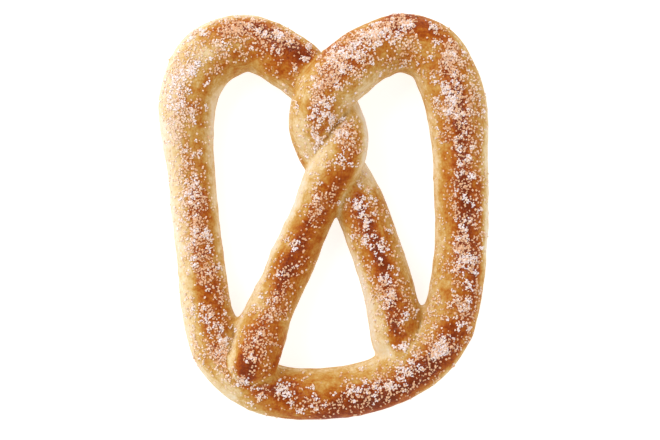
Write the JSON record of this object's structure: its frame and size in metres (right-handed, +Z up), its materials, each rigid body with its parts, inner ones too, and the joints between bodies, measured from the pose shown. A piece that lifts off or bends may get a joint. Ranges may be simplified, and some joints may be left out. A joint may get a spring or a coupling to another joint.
{
  "type": "soft pretzel",
  "caption": "Large soft pretzel baked from one rope of dough, twisted at the middle and folded onto its own loop, with a golden crust and a dusting of sugar.",
  "frame": {"origin": "centre of the bounding box at the flat underside, on the surface that the pretzel rests on", "axes": "+Z up out of the resting surface, +Y from the round side of the loop towards the two lobes, +X towards the lobe whose strand comes over the other at the top of the twist"},
  "size_m": [0.1458, 0.1802, 0.0338],
  "materials": {
    "crust": "golden baked crust, satin, darker along the top of the rope and pale cream on its flanks",
    "sugar": "loose white granulated sugar stuck to the crust in grains and small clumps"
  },
  "bodies": {
    "root": {"pretzel": "crust"}
  },
  "joints": []
}
